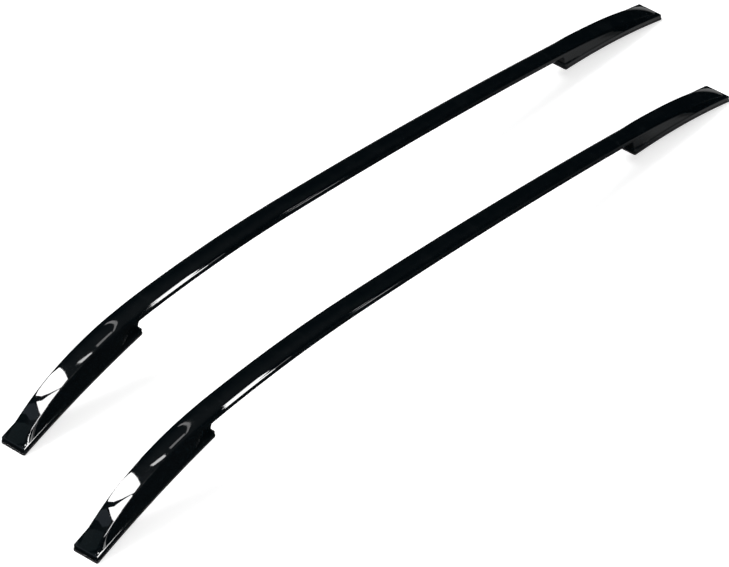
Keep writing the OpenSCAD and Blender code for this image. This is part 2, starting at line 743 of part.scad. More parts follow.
place_side(LEFT) rail_bar();  // left_rail_bar
on(LEFT, FRONT) cover(FRONT);  // left_front_cover
on(LEFT, REAR) cover(REAR);  // left_rear_cover
on(LEFT, FRONT) bracket(FRONT);  // left_front_bracket
on(LEFT, REAR) bracket(REAR);  // left_rear_bracket
on(LEFT, FRONT) base_pad(FRONT);  // left_front_base_pad
on(LEFT, REAR) base_pad(REAR);  // left_rear_base_pad
on(LEFT, FRONT) inserts(FRONT);  // left_front_inserts
on(LEFT, REAR) inserts(REAR);  // left_rear_inserts
on(LEFT, FRONT) locating_peg(FRONT);  // left_front_peg
on(LEFT, REAR) locating_peg(REAR);  // left_rear_peg
on(LEFT, FRONT) bar_screws(FRONT);  // left_front_bar_screws
on(LEFT, REAR) bar_screws(REAR);  // left_rear_bar_screws
on(LEFT, FRONT) cover_screws(FRONT);  // left_front_cover_screws
on(LEFT, REAR) cover_screws(REAR);  // left_rear_cover_screws
place_side(RIGHT) rail_bar();  // right_rail_bar
on(RIGHT, FRONT) cover(FRONT);  // right_front_cover
on(RIGHT, REAR) cover(REAR);  // right_rear_cover
on(RIGHT, FRONT) bracket(FRONT);  // right_front_bracket
on(RIGHT, REAR) bracket(REAR);  // right_rear_bracket
on(RIGHT, FRONT) base_pad(FRONT);  // right_front_base_pad
on(RIGHT, REAR) base_pad(REAR);  // right_rear_base_pad
on(RIGHT, FRONT) inserts(FRONT);  // right_front_inserts
on(RIGHT, REAR) inserts(REAR);  // right_rear_inserts
on(RIGHT, FRONT) locating_peg(FRONT);  // right_front_peg
on(RIGHT, REAR) locating_peg(REAR);  // right_rear_peg
on(RIGHT, FRONT) bar_screws(FRONT);  // right_front_bar_screws
on(RIGHT, REAR) bar_screws(REAR);  // right_rear_bar_screws
on(RIGHT, FRONT) cover_screws(FRONT);  // right_front_cover_screws
on(RIGHT, REAR) cover_screws(REAR);  // right_rear_cover_screws
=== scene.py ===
"""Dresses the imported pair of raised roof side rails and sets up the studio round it.

Lengths in the classes are millimetres, as on a drawing. Meshes are in metres, in the
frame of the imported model: front is +X, left is +Y, and the toes stand on z = 0.
"""

from __future__ import annotations

import json
import logging
import math
from dataclasses import dataclass
from enum import Enum

import bpy
import numpy as np
from bpy.types import ID, Material, Mesh, Node, NodeOutputs, NodeTree, Object, World
from bpy.types import NodeSocket as Socket
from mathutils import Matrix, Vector


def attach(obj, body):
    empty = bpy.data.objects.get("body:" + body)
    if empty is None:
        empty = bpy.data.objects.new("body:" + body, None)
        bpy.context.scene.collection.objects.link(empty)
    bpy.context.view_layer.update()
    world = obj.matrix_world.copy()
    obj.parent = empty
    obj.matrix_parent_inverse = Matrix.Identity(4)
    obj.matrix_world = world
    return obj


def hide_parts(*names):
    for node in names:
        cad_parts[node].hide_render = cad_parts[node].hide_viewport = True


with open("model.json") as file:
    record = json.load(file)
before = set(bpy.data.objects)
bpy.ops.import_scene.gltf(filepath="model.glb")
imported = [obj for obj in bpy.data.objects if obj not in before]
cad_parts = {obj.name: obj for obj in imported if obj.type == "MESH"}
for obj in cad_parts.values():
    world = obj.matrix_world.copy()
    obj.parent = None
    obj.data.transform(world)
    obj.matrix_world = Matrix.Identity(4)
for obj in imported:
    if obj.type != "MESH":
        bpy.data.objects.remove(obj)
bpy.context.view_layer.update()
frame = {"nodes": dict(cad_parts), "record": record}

LOG = logging.getLogger("roof_rails")
MM = 0.001
RAIL_LENGTH = 1800.0
SHARP_ANGLE = 32.0
# Where the crown, crease, side, wall and base of a cover's half section end
CROWN_END, CREASE_END, SIDE_END, WALL_END, LAST = 3, 4, 10, 11, 12
Array = np.ndarray
Feeds = dict[str | int, object]
Point = tuple[float, float, float]
Colour = tuple[float, float, float, float]


class Side(Enum):
    """The two rails. The value is the sign of the rail's place across the vehicle."""

    LEFT = 1
    RIGHT = -1

    @property
    def word(self) -> str:
        """The side's name as it stands in the node names."""
        return self.name.lower()


class End(Enum):
    """The two ends of a rail."""

    FRONT = "front"
    REAR = "rear"


class Slot(Enum):
    """The record's material slots."""

    BAR = "bar_paint"
    COVER = "cover_gloss"
    CAST = "cast_metal"
    PAD = "base_rubber"
    STEEL = "plated_steel"
    PEG = "peg_nylon"


@dataclass(frozen=True)
class Bar:
    """The hollow bar: a flattened oval carried along two bends that share a tangent."""

    front_width: float = 48.0
    rear_width: float = 40.0
    front_height: float = 26.4
    rear_height: float = 22.8
    power: float = 2.3
    flat: float = 0.5
    wall: float = 2.4
    start: float = 342.0
    stop: float = 1470.0
    start_z: float = 128.42
    start_rise: float = 4.3
    stop_z: float = 68.7
    change: float = 716.0
    front_radius: float = 2930.0
    steps: int = 160
    around: int = 96
    gather: float = 0.28

    def bends(self) -> tuple[Array, Array]:
        """The two bends that the centre line follows.

        The front bend's centre lies on the normal of the line at its start. The rear bend
        shares its tangent where it takes over, and its radius, the chord squared over
        twice the chord's reach along the normal, brings it to the rear seam's height.

        Returns:
            Two rows of centre distance, centre height and radius.
        """
        rise = math.radians(self.start_rise)
        radius = self.front_radius
        front_x = self.start + radius * math.sin(rise)
        front_z = self.start_z - radius * math.cos(rise)
        turn = math.asin((front_x - self.change) / radius)
        change_z = front_z + radius * math.cos(turn)
        run, fall = self.stop - self.change, change_z - self.stop_z
        rear = (run**2 + fall**2) / (2 * (run * math.sin(turn) + fall * math.cos(turn)))
        rear_x = self.change + rear * math.sin(turn)
        rear_z = change_z - rear * math.cos(turn)
        return np.array([front_x, front_z, radius]), np.array([rear_x, rear_z, rear])

    def line(self, u: Array) -> Array:
        """Height of the centre line: the top of the bend's circle over distance u."""
        front, rear = self.bends()
        u = np.asarray(u, float)
        heights = [z + np.sqrt(np.maximum(r * r - (u - x) ** 2, 0)) for x, z, r in (front, rear)]
        return np.where(u < self.change, heights[0], heights[1])

    def size(self, u: Array) -> tuple[Array, Array]:
        """Width and height of the section, which shrink evenly from the front to the rear."""
        share = (np.asarray(u, float) - self.start) / (self.stop - self.start)
        width = self.front_width + (self.rear_width - self.front_width) * share
        return width, self.front_height + (self.rear_height - self.front_height) * share

    def oval(
        self, angle: Array, width: Array, height: Array, inset: float = 0.0
    ) -> tuple[Array, Array]:
        """Points of the section: half size times the power 2/p of sine and cosine.

        The lowest part is cut to a flat.

        Args:
            angle: Angles from the top, in radians.
            width: Width of the section.
            height: Height of the full oval.
            inset: Distance in from the outside.

        Returns:
            Distances across, and heights above the centre line.
        """
        sine, cosine = np.sin(angle), np.cos(angle)
        across = (width / 2 - inset) * np.sign(sine) * np.abs(sine) ** (2 / self.power)
        up = (height / 2 - inset) * np.sign(cosine) * np.abs(cosine) ** (2 / self.power)
        return across, np.maximum(up, self.flat + inset - height / 2)

    def build(self, side: Side) -> Object:
        """The bar's tube: an outer and an inner grid, joined by a rim at each end."""
        u = np.linspace(self.start, self.stop, self.steps)
        width, height = self.size(u)
        # Even angles, gathered a little at the top, the bottom and both sides
        turn = np.arange(self.around) / self.around * 2 * math.pi
        angle = turn - self.gather * np.sin(4 * turn) / 4
        skins = []
        for inset in (0.0, self.wall):
            across, up = self.oval(angle[None, :], width[:, None], height[:, None], inset)
            skins.append(grid_of(u, across, self.line(u)[:, None] + up))
        return place(tube_between(*skins), f"{side.word}_bar_skin", side, End.FRONT)


@dataclass(frozen=True)
class Cover:
    """A moulded foot cover: a creased body that eases into the bar's oval, on a flange.

    Distances run from the cover's own toe. The middle line starts toe_sink below the
    flange's top at the slope toe_steep, and the two reaches are the shares of the seam's
    distance for which its slopes hold. The inner end's wall leaves the bar's oval at the
    parameter flank, and end_width is its width at the base if it leans.
    """

    end: End
    bar: Bar
    length: float
    seam: float
    tail: float
    roof_slope: float
    roof_bow: float
    toe_sink: float
    toe_steep: float
    toe_reach: float
    seam_reach: float
    hollow_start: float
    flank: int
    end_width: float | None = None
    end_round: float | None = None
    toe_width: float = 57.0
    inner_width: float = 54.0
    flange: float = 8.0
    ledge: float = 0.8
    draw_in: float = 60.0
    crease: float = 36.0
    crown: float = 1.6
    crease_round: float = 1.6
    sunk: float = 1.5
    wall: float = 2.6
    seam_gap: float = 0.3
    base: float = 3.05
    corner: float = 3.0
    edge_round: float = 0.9
    body_start: float = 1.5
    ease_start: float = 0.3
    crease_inset: float = 0.8
    wall_inset: float = 0.75
    brow_drop: float = 0.7
    crease_pull: float = 0.2
    swell: float = 0.85
    draw_power: float = 1.5
    overrun: float = 1.0
    below: float = 6.0
    last_gap: float = 0.5
    pocket_round: float = 0.4
    solve_steps: int = 30
    foot_rows: int = 110
    hollow_rows: int = 90
    neck_rows: int = 6
    round_rows: int = 17
    corner_points: int = 9
    side_points: int = 70
    edge_levels: int = 6

    def toe_out(self, u: Array) -> Array:
        """Distance from the front toe of a point at distance u from this cover's own toe."""
        return u if self.end is End.FRONT else RAIL_LENGTH - u

    def bar_size(self) -> tuple[float, float]:
        """Width and height of the bar at this cover's seam."""
        width, height = self.bar.size(self.toe_out(np.array([self.seam])))
        return float(width[0]), float(height[0])

    def over_roof(self, u: Array, high: float | Array) -> Array:
        """Height of points that lie high above the roof line, square to it.

        The roof line is slope times u less bow times u squared.
        """
        lean = np.arctan(self.roof_slope - 2 * self.roof_bow * u)
        return self.roof_slope * u - self.roof_bow * u * u + high / np.cos(lean)

    def crown_z(self, u: Array) -> Array:
        """Height of the cover's middle line.

        It is one cubic Bezier curve from inside the flange's toe to the bar's crown, read
        at each u by solving for the curve's own parameter with Newton's rule.
        """
        u = np.asarray(u, float)
        # Half a millimetre to each side of the seam, so the difference is the slope there
        here = self.bar.line(self.toe_out(np.array([self.seam - 0.5, self.seam + 0.5])))
        rise = self.bar_size()[1] / 2
        top, slope = float(here.mean()) + rise, float(here[1] - here[0])
        low = float(self.over_roof(np.array([0.0]), self.base + self.flange)[0]) - self.toe_sink
        near, far = self.toe_reach * self.seam, self.seam_reach * self.seam
        xs = np.array([0.0, near, self.seam - far, self.seam])
        zs = np.array([low, low + near * self.toe_steep, top - far * slope, top])
        t = np.clip(u / self.seam, 0.0, 1.0)
        for _ in range(self.solve_steps):
            miss = bezier_weights(t) @ xs - np.minimum(u, self.seam)
            t = np.clip(t - miss / (bezier_rates(t) @ xs), 0.0, 1.0)
        on_bar = self.bar.line(self.toe_out(u)) + rise
        return np.where(u >= self.seam, on_bar, bezier_weights(t) @ zs)

    def belly_z(self, u: Array) -> Array:
        """Height of the bar's underside, at the seam's size."""
        return self.bar.line(self.toe_out(u)) - self.bar_size()[1] / 2 + self.bar.flat

    def blend_radius(self) -> float:
        """Radius of the quarter round from the cover's inner end up to the bar."""
        if self.end_round is not None:
            return self.end_round
        at = np.array([self.length])
        return float((self.belly_z(at) - self.over_roof(at, self.base))[0])

    def blend_z(self, u: Array, inset: float) -> Array:
        """Height of the lower edge past the inner end: a quarter round up to the bar."""
        radius = self.blend_radius() + inset
        back = np.clip(self.length + self.blend_radius() - u, 0, radius)
        return self.belly_z(u) + inset - (radius - np.sqrt(radius**2 - back**2))

    def flange_y(self, u: Array) -> Array:
        """Half width of the flange, which narrows evenly from the toe to its inner end."""
        far = self.length + self.tail
        return (self.toe_width + (self.inner_width - self.toe_width) * u / far) / 2

    def foot_half(
        self, s: Array, u: Array, top: Array, depth: Array, inset: float
    ) -> tuple[Array, Array]:
        """Half of the foot's section, for a parameter s from 0 at the crown to 12.

        0 to 3 is the crown, a parabola. 3 to 4 is the round along the crease, a quadratic
        Bezier. 4 to 10 is the side, which swells out as the power 0.85 of its depth and ends
        a little inside the flange. 10 to 11 runs on down and 11 to 12 is the base.

        Args:
            s: Parameters, one for each column.
            u: Distances from the toe, one for each row.
            top: Heights of the crown, one for each row.
            depth: Depths of the base below the crown, one for each row.
            inset: Distance in from the outside.

        Returns:
            Distances across and depths below the crown, as rows by columns.
        """
        crease = self.crease / 2 - inset * self.crease_inset
        edge = crease + self.crease_round
        base = (self.flange_y(u) - self.ledge - inset)[:, None]
        brow = self.crown + self.crease_round * self.brow_drop
        knee = top - self.over_roof(u, self.base + self.flange - self.sunk)
        knee = np.maximum(knee, self.crown + self.crease_round)[:, None]
        depth = np.maximum(depth[:, None], knee)
        s = s[None, :] + np.zeros_like(depth)
        t = np.clip(s / CROWN_END, 0, 1)
        across, down = crease * t, self.crown * t**2
        t = np.clip(s - CROWN_END, 0, 1)
        corner = edge - self.crease_pull
        corner_z = self.crown + 2 * self.crown / crease * (corner - crease)
        turn_x = quadratic(t, crease, corner, edge)
        turn_z = quadratic(t, self.crown, corner_z, brow)
        t = np.clip((s - CREASE_END) / (SIDE_END - CREASE_END), 0, 1)
        side_x, side_z = edge + (base - edge) * t**self.swell, brow + (knee - brow) * t
        lower_z = knee + (depth - knee) * np.clip(s - SIDE_END, 0, 1)
        across = np.where(s > CREASE_END, side_x, np.where(s > CROWN_END, turn_x, across))
        down = np.where(s > CREASE_END, side_z, np.where(s > CROWN_END, turn_z, down))
        down = np.where(s > SIDE_END, lower_z, down)
        return np.where(s > WALL_END, base * (LAST - s), across), down

    def end_half(
        self, s: Array, u: Array, top: Array, depth: Array, inset: float
    ) -> tuple[Array, Array]:
        """Half of the section at the inner end: the bar's oval, which stands on a wall.

        The oval runs down to its flank. From there a wall runs to its own half width at the
        base, at a steady lean, and is cut off at the depth.
        """
        width, height = self.bar_size()
        angle = math.pi * np.minimum(s, self.flank) / LAST
        across, up = self.bar.oval(angle, width, height, inset)
        flank_x, flank = across[-1], height / 2 - inset - up[-1]
        if self.end_width is None:
            at = np.array([math.pi * self.flank / LAST])
            foot = float(self.bar.oval(at, width, height)[0][0])
        else:
            foot = self.end_width / 2
        full = top - self.over_roof(u, self.base)
        lean = ((foot - inset * self.wall_inset - flank_x) / (full - flank))[:, None]
        low = np.maximum(depth, flank)[:, None]
        s = s[None, :] + np.zeros_like(low)
        run = (low - flank) * np.clip((s - self.flank) / (WALL_END - self.flank), 0, 1)
        down = np.where(s > self.flank, flank + run, (height / 2 - inset - up)[None, :])
        wall_x = flank_x + lean * run
        across = np.where(s > self.flank, wall_x, across[None, :])
        return np.where(s > WALL_END, wall_x * (LAST - s), across), down

    def rings(self, u: Array, s: Array, inset: float, floor: Array) -> Array:
        """Half rings of the body: the foot's section drawn in to the bar on its wall.

        A column is drawn in by a share that is larger nearer the crown and grows along the
        foot as a smooth step. Past the inner end the wall runs out into the bar's own oval.

        Args:
            u: Distances from the toe, one for each row.
            s: Parameters round the half section, one for each column.
            inset: Distance in from the outside.
            floor: Heights of the lower edge, one for each row.

        Returns:
            A grid of [distance, across, height].
        """
        top = self.crown_z(u) - inset
        depth = top - floor
        foot_x, foot_z = self.foot_half(s, u, top, depth, inset)
        wall_x, wall_z = self.end_half(s, u, top, depth, inset)
        width, height = self.bar_size()
        oval_x, oval_up = self.bar.oval(math.pi * s / LAST, width, height, inset)
        oval_z = np.minimum((height / 2 - inset - oval_up)[None, :], depth[:, None])
        inner, past_end = self.length - inset, self.length + self.blend_radius()
        past = ease(inner, past_end, u)[:, None]
        end_x = wall_x * (1 - past) + oval_x[None, :] * past
        end_z = wall_z * (1 - past) + oval_z * past
        late = ease(self.length - self.draw_in, inner, u)[:, None]
        early = ease(self.ease_start * self.seam, inner, u)[:, None]
        share = late + (early - late) * (1 - s[None, :] / LAST) ** self.draw_power
        across = foot_x * (1 - share) + end_x * share
        down = foot_z * (1 - share) + end_z * share
        return grid_of(u, across, top[:, None] - down)

    def columns(self) -> Array:
        """Parameters round the half section, closest together in the crease."""
        spans = ((0, CROWN_END, 12), (CROWN_END, CREASE_END, 9), (CREASE_END, WALL_END, 35))
        parts = [np.linspace(low, high, count)[:-1] for low, high, count in spans]
        return np.concatenate([*parts, np.linspace(WALL_END, LAST, 5)])

    def body(self) -> Shape:
        """The outside of the body. Its lower edge lies half way down inside the flange."""
        foot = crowded(self.body_start, self.length, self.foot_rows)
        past = self.blend_at(0.0)
        neck = np.linspace(past[-1], self.seam - self.seam_gap, self.neck_rows)[1:]
        u = np.concatenate([foot, past, neck])
        low = self.over_roof(u, self.base + self.flange / 2)
        floor = np.where(u > self.length, self.blend_z(u, 0.0), low)
        return closed_loft(mirrored(self.rings(u, self.columns(), 0.0, floor)))

    def hollow(self) -> Shape:
        """The body's hollow: open below up to the inner end, then a neck for the spigot."""
        last = self.length - self.wall
        foot = crowded(self.hollow_start, last - self.last_gap, self.hollow_rows)
        past = np.concatenate([[last], self.blend_at(self.wall)])
        u = np.concatenate([foot, past, [self.seam + self.overrun]])
        low = self.over_roof(u, 0.0) - self.below
        floor = np.where(u < last, low, self.blend_z(u, self.wall))
        return closed_loft(mirrored(self.rings(u, self.columns(), self.wall, floor)))

    def blend_at(self, inset: float) -> Array:
        """Distances of the rings in the round at the inner end, at even angles."""
        turn = np.linspace(0, math.pi / 2, self.round_rows)[1:]
        return self.length - inset + (self.blend_radius() + inset) * (1 - np.cos(turn))

    def flange_solid(self, inset: float, base: float, edge: float) -> Shape:
        """The flange: its outline in plan, carried up and drawn in round its upper edge.

        The outline has straight sides, and quarter rounds of radius r at its corners. Drawn
        in by d, a corner keeps its centre and its radius is r less d.

        Args:
            inset: Distance in from the outside of the flange.
            base: Height of the underside above the roof line.
            edge: Radius of the upper edge.

        Returns:
            A closed shape.
        """
        near, far = inset, self.length + self.tail - inset
        r = self.corner - inset / 2
        turn = np.linspace(0, math.pi / 2, self.corner_points)
        middle = np.linspace(near + r, far - r, self.side_points)[1:-1]
        high = self.base + self.flange - inset
        levels = [(base, 0.0)]
        for a in np.linspace(0, math.pi / 2, self.edge_levels):
            levels.append((high - edge + edge * math.sin(a), edge * (1 - math.cos(a))))
        rows = []
        for level, drawn in levels:
            small = r - drawn
            reach, dip = small * np.cos(turn), r - small * np.sin(turn)
            u = np.concatenate([near + r - reach, middle, far - r + reach[::-1]])
            less = np.concatenate([dip, np.full_like(middle, drawn), dip[::-1]])
            y = self.flange_y(u) - inset - less
            z = self.over_roof(u, level)
            half = np.stack([u, y, z], axis=-1)
            rows.append(np.concatenate([half, half[::-1] * (1, -1, 1)]))
        grid = np.array(rows)
        count = grid.shape[1]
        i = np.arange(count // 2 - 1)
        strip = np.stack([i, i + 1, count - 2 - i, count - 1 - i], -1)
        top = strip[:, ::-1] + (len(rows) - 1) * count
        return Shape(grid.reshape(-1, 3), quads_of(ring_quads(len(rows), count), strip, top))

    def shape(self) -> Shape:
        """The whole cover: body and flange together, less the hollows of both."""
        flange = self.flange_solid(0.0, self.base, self.edge_round)
        pocket = self.flange_solid(self.wall, self.base - self.overrun, self.pocket_round)
        return combined(self.body(), [flange], [self.hollow(), pocket])

    def build(self, shape: Shape, side: Side) -> Object:
        """The cover's piece on one side of the pair."""
        return place(shape, f"{side.word}_{self.end.value}_cover_skin", side, self.end)


def grid_of(u: Array, across: Array, z: Array) -> Array:
    """Rows by columns of [distance, across, height]."""
    return np.stack(np.broadcast_arrays(u[:, None], across, z), axis=-1)


def ease(low: float, high: float, u: Array) -> Array:
    """Smooth step: 3 t squared less 2 t cubed, with t running from 0 at low to 1 at high."""
    t = np.clip((u - low) / (high - low), 0, 1)
    return t * t * (3 - 2 * t)


def crowded(low: float, high: float, count: int, power: float = 1.1) -> Array:
    """Distances from low to high, a little closer together near low."""
    return low + (high - low) * np.linspace(0, 1, count) ** power


def quadratic(t: Array, first: float, middle: float, last: float) -> Array:
    """One coordinate of a quadratic Bezier curve, at each t."""
    return (1 - t) ** 2 * first + 2 * t * (1 - t) * middle + t**2 * last


def bezier_weights(t: Array) -> Array:
    """Weights of a cubic Bezier curve's four points, one row for each t."""
    return np.stack([(1 - t) ** 3, 3 * (1 - t) ** 2 * t, 3 * (1 - t) * t**2, t**3], axis=-1)


def bezier_rates(t: Array) -> Array:
    """Rates of change of those weights, one row for each t."""
    a, b, c = 3 * (1 - t) ** 2, 6 * (1 - t) * t, 3 * t**2
    return np.stack([-a, a - b, b - c, c], axis=-1)


def mirrored(half: Array) -> Array:
    """Whole rings from half rings: the columns after the crown, then their mirror image."""
    return np.concatenate([half, half[:, -2:0:-1] * (1, -1, 1)], axis=1)


@dataclass
class Shape:
    """Points in millimetres, and faces as tuples of point numbers."""

    points: Array
    faces: list[tuple[int, ...]]

    def mesh(self, name: str) -> Mesh:
        """The shape as a mesh, in its own units."""
        mesh = bpy.data.meshes.new(name)
        mesh.from_pydata(self.points, [], self.faces)
        mesh.validate()
        return mesh


def ring_quads(rows: int, columns: int, first: int = 0) -> Array:
    """Faces of a grid that closes on itself, as rows - 1 by columns by 4."""
    row = np.arange(rows - 1)[:, None] * columns
    column = np.arange(columns)[None, :]
    following = (column + 1) % columns
    near, far = row + column, row + following
    return np.stack([near, near + columns, far + columns, far], -1) + first


def quads_of(*groups: Array) -> list[tuple[int, ...]]:
    """Faces of four points from arrays of point numbers, in order."""
    return [tuple(face) for group in groups for face in group.reshape(-1, 4).tolist()]


def closed_loft(grid: Array) -> Shape:
    """A closed skin through the rows of a grid, with one flat face at each end."""
    rows, columns = grid.shape[:2]
    faces = quads_of(ring_quads(rows, columns))
    faces.append(tuple(range(columns)))
    faces.append(tuple(range(rows * columns - 1, (rows - 1) * columns - 1, -1)))
    return Shape(grid.reshape(-1, 3), faces)


def tube_between(outer: Array, inner: Array) -> Shape:
    """A closed tube from two grids of equal size, with a flat rim at each end."""
    rows, columns = outer.shape[:2]
    count = rows * columns
    outside, inside = ring_quads(rows, columns), ring_quads(rows, columns, count)[..., ::-1]
    column = np.arange(columns)
    following = (column + 1) % columns
    start_rim = np.stack([column, following, following + count, column + count], -1)
    end_rim = start_rim[:, ::-1] + (rows - 1) * columns
    points = np.concatenate([outer.reshape(-1, 3), inner.reshape(-1, 3)])
    return Shape(points, quads_of(outside, inside, start_rim, end_rim))


def new_object(name: str, data: ID) -> Object:
    """An object that shows a mesh, a light or a camera, added to the scene."""
    item = bpy.data.objects.new(name, data)
    bpy.context.scene.collection.objects.link(item)
    return item


def look_along(item: Object, direction: Vector) -> None:
    """Turns a light or a camera to look along a direction."""
    item.rotation_euler = direction.to_track_quat("-Z", "Y").to_euler()


def combined(base: Shape, joined: list[Shape], cut: list[Shape]) -> Shape:
    """The base with closed shapes joined to it, then cut from it.

    Args:
        base: A closed shape.
        joined: Closed shapes that are added.
        cut: Closed shapes that are taken away.

    Returns:
        The outcome, read back from Blender's Boolean modifier.
    """
    tools = [(s, "UNION") for s in joined] + [(s, "DIFFERENCE") for s in cut]
    host = new_object("host", base.mesh("host"))
    helpers = []
    for shape, operation in tools:
        helper = new_object("tool", shape.mesh("tool"))
        helpers.append(helper)
        step = host.modifiers.new(operation.lower(), "BOOLEAN")
        step.object, step.operation, step.solver = helper, operation, "MANIFOLD"
    bpy.context.view_layer.update()
    mesh = host.evaluated_get(bpy.context.evaluated_depsgraph_get()).to_mesh()
    points = np.empty(len(mesh.vertices) * 3)
    mesh.vertices.foreach_get("co", points)
    faces = [tuple(p.vertices) for p in mesh.polygons]
    for piece in [host, *helpers]:
        data = piece.data
        bpy.data.objects.remove(piece)
        bpy.data.meshes.remove(data)
    return Shape(points.reshape(-1, 3), faces)


@dataclass(frozen=True)
class Pair:
    """How the two rails lie: their distance apart, the stagger and the turn inwards."""

    gap: float = 285.0
    stagger: float = 130.0
    toe: float = 0.46

    def to_row(self, points: Array, side: Side, end: End) -> Array:
        """Points from a toe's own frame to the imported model's frame, in metres.

        A foot is half turned at the front, moved out to its end, turned by the toe angle
        and moved to its side of the pair.
        """
        x, y, z = points.T
        if end is End.FRONT:
            x, y = RAIL_LENGTH / 2 - x, -y
        else:
            x = x - RAIL_LENGTH / 2
        turn = math.radians(side.value * self.toe)
        along = x * math.cos(turn) - y * math.sin(turn) + side.value * self.stagger / 2
        across = x * math.sin(turn) + y * math.cos(turn) + side.value * self.gap / 2
        return np.stack([along, across, z], axis=-1) * MM


PAIR = Pair()


def place(shape: Shape, name: str, side: Side, end: End) -> Object:
    """Makes a mesh object of a shape, in its place, smooth but for its sharp edges."""
    mesh = Shape(PAIR.to_row(shape.points, side, end), shape.faces).mesh(name)
    mesh.shade_smooth()
    mesh.set_sharp_from_angle(angle=math.radians(SHARP_ANGLE))
    mesh.update()
    return new_object(name, mesh)


# Numbers of the Mix node's sockets for colours
MIX_FIRST, MIX_SECOND, MIX_RESULT = 6, 7, 2


class Wires:
    """Adds nodes to a tree and joins them in short calls."""

    def __init__(self, tree: NodeTree) -> None:
        self.tree = tree

    @classmethod
    def blank(cls, owner: Material | World) -> Wires:
        """Wires for the tree of a material or the world, emptied first."""
        owner.use_nodes = True
        owner.node_tree.nodes.clear()
        return cls(owner.node_tree)

    def node(self, kind: str, feeds: Feeds | None = None, **settings: object) -> Node:
        """A new node of a kind, with settings on it and values or links in its inputs.

        Args:
            kind: Type of the node, as Blender names it after "ShaderNode".
            feeds: Inputs by name or number, each a value or an output to link from.
            settings: Properties of the node itself.
        """
        node = self.tree.nodes.new(f"ShaderNode{kind}")
        for key, value in settings.items():
            setattr(node, key, value)
        self.feed(node, feeds or {})
        return node

    def feed(self, node: Node, feeds: Feeds) -> None:
        """Puts values and links into a node's inputs."""
        for key, value in feeds.items():
            if isinstance(value, Socket):
                self.tree.links.new(value, node.inputs[key])
            else:
                node.inputs[key].default_value = value

    def read(
        self, kind: str, output: str | int, feeds: Feeds | None = None, **settings: object
    ) -> Socket:
        """One output of a new node, by its name or number."""
        return self.node(kind, feeds, **settings).outputs[output]

    def math(self, operation: str, *values: object, clamp: bool = False) -> Socket:
        """The outcome of a Math node on values or outputs."""
        feeds = dict(enumerate(values))
        return self.read("Math", 0, feeds, operation=operation, use_clamp=clamp)

    def noise(
        self, vector: Socket, scale: object, detail: float = 3.0, roughness: float = 0.6
    ) -> Socket:
        """Value of a Noise node over a vector."""
        feeds = {"Vector": vector, "Scale": scale, "Detail": detail, "Roughness": roughness}
        return self.read("TexNoise", "Fac", feeds)

    def mapped(self, vector: Socket, scale: Point, turn: Point = (0.0, 0.0, 0.0)) -> Socket:
        """A vector scaled along its axes and turned."""
        feeds = {"Vector": vector, "Rotation": turn, "Scale": scale}
        return self.read("Mapping", 0, feeds)

    def ramp(
        self, value: Socket, low: float, high: float, out_low: float = 0.0, out_high: float = 1.0
    ) -> Socket:
        """A value brought from one range to another in a smooth step."""
        feeds = {"Value": value, "From Min": low, "From Max": high}
        feeds |= {"To Min": out_low, "To Max": out_high}
        return self.read("MapRange", 0, feeds, interpolation_type="SMOOTHSTEP")

    def between(self, share: Socket, low: float, high: float) -> Socket:
        """A share from 0 to 1 brought to a range in a smooth step."""
        return self.ramp(share, 0.0, 1.0, low, high)

    def blend(self, share: object, first: object, second: object) -> Socket:
        """A mix of two colours."""
        feeds = {0: share, MIX_FIRST: first, MIX_SECOND: second}
        return self.read("Mix", MIX_RESULT, feeds, data_type="RGBA")

    def bump(self, height: Socket, distance: float, strength: float) -> Socket:
        """A normal raised by a height."""
        feeds = {"Height": height, "Distance": distance, "Strength": strength}
        return self.read("Bump", 0, feeds)


class Effect:
    """A surface effect kept as a node group that several finishes share."""

    name = "effect"
    settings: tuple[str, ...] = ()
    gives: tuple[str, ...] = ("Value",)

    def wire(self, wires: Wires, vector: Socket, *settings: Socket) -> Feeds:
        """Fills the group from its vector and settings, and says what it gives by name."""
        raise NotImplementedError

    def tree(self) -> NodeTree:
        """The group, made the first time it is asked for."""
        if self.name in bpy.data.node_groups:
            return bpy.data.node_groups[self.name]
        tree = bpy.data.node_groups.new(self.name, "ShaderNodeTree")
        sockets = [("Vector", "INPUT", "NodeSocketVector")]
        sockets += [(name, "INPUT", "NodeSocketFloat") for name in self.settings]
        sockets += [(name, "OUTPUT", "NodeSocketFloat") for name in self.gives]
        for name, way, kind in sockets:
            tree.interface.new_socket(name, in_out=way, socket_type=kind)
        wires = Wires(tree)
        given = tree.nodes.new("NodeGroupInput").outputs
        made = self.wire(wires, given["Vector"], *(given[name] for name in self.settings))
        wires.feed(tree.nodes.new("NodeGroupOutput"), made)
        return tree

    def use(self, wires: Wires, vector: Socket, **feeds: object) -> NodeOutputs:
        """Places the group in a material, and gives its outputs."""
        return wires.node("Group", {"Vector": vector, **feeds}, node_tree=self.tree()).outputs


class Smudges(Effect):
    """Slow patches and faint wipe marks, from 0 to 1."""

    name = "Smudges"
    settings = ("Scale",)

    def wire(self, wires: Wires, vector: Socket, scale: Socket) -> Feeds:
        patches = wires.noise(vector, scale)
        turned = wires.mapped(vector, (3.0, 40.0, 40.0), turn=(0.2, 0.3, 0.5))
        wipes = wires.ramp(wires.noise(turned, scale=4.0, detail=4.0), 0.5, 0.75)
        both = wires.math("MULTIPLY_ADD", wipes, 0.35, wires.ramp(patches, 0.35, 0.7))
        return {"Value": wires.math("MULTIPLY", both, 0.75, clamp=True)}


class OrangePeel(Effect):
    """The long, low waves of sprayed or moulded gloss, as a height."""

    name = "Orange peel"
    settings = ("Scale",)
    gives = ("Height",)

    def wire(self, wires: Wires, vector: Socket, scale: Socket) -> Feeds:
        scales = (scale, wires.math("MULTIPLY", scale, 0.12))
        fine, long = (wires.noise(vector, each, detail=1.0, roughness=0.4) for each in scales)
        return {"Height": wires.math("MULTIPLY_ADD", long, 0.6, fine)}


